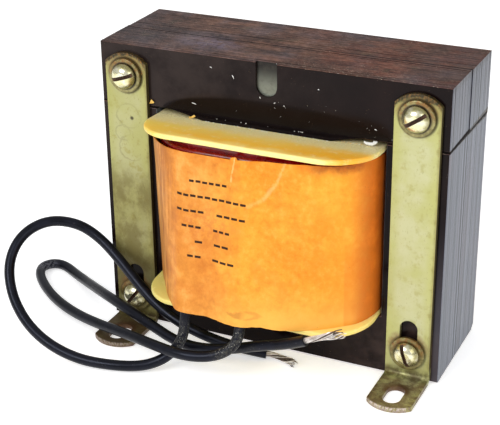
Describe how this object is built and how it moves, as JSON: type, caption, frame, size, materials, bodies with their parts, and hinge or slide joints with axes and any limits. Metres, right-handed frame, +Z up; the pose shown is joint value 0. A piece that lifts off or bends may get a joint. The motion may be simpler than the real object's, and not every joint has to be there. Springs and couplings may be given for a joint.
{
  "type": "iron-core choke",
  "caption": "Open-frame iron-core choke: one paper-wrapped coil on a laminated core, held by strap brackets with slotted feet, and two loose leads.",
  "frame": {"origin": "on the plane under the two feet, at the middle of the lamination stack", "axes": "+X along the core's width, +Y through the stack from the side the leads leave to the back, +Z up from the feet to the top of the core"},
  "size_m": [0.1556, 0.0936, 0.0965],
  "materials": {
    "lamination_steel": "silicon steel edges under a dark brown dipping varnish",
    "gap_paper": "varnished brown gap paper",
    "bobbin_plastic": "aged cream moulded nylon, satin, with varnish on it",
    "enamelled_copper": "dark red enamelled magnet wire, glossy",
    "wrap_paper": "varnished kraft paper, orange brown, mottled",
    "zinc_strap": "steel with pale yellow-green zinc dichromate, stained with varnish",
    "zinc_hardware": "zinc-plated steel, pale yellow, bright",
    "sleeve_plastic": "white insulating sleeve",
    "lead_jacket": "black vinyl insulation, satin, a little dusty",
    "tinned_copper": "stranded copper with dull tin on it"
  },
  "bodies": {
    "root": {"core_e_stack": "lamination_steel", "core_i_stack_front": "lamination_steel", "core_i_stack_rear": "lamination_steel", "gap_shim_left": "gap_paper", "gap_shim_centre": "gap_paper", "gap_shim_right": "gap_paper", "bobbin": "bobbin_plastic", "winding": "enamelled_copper", "outer_wrap": "wrap_paper", "bracket_front_left": "zinc_strap", "bracket_front_right": "zinc_strap", "clamp_screws": "zinc_hardware", "flat_washers": "zinc_hardware", "lock_washers": "zinc_hardware", "hex_nuts": "zinc_hardware", "splice_sleeve_left": "sleeve_plastic", "splice_sleeve_right": "sleeve_plastic", "lead_left_jacket": "lead_jacket", "lead_right_jacket": "lead_jacket", "lead_left_conductor": "tinned_copper", "lead_right_conductor": "tinned_copper"}
  },
  "joints": []
}
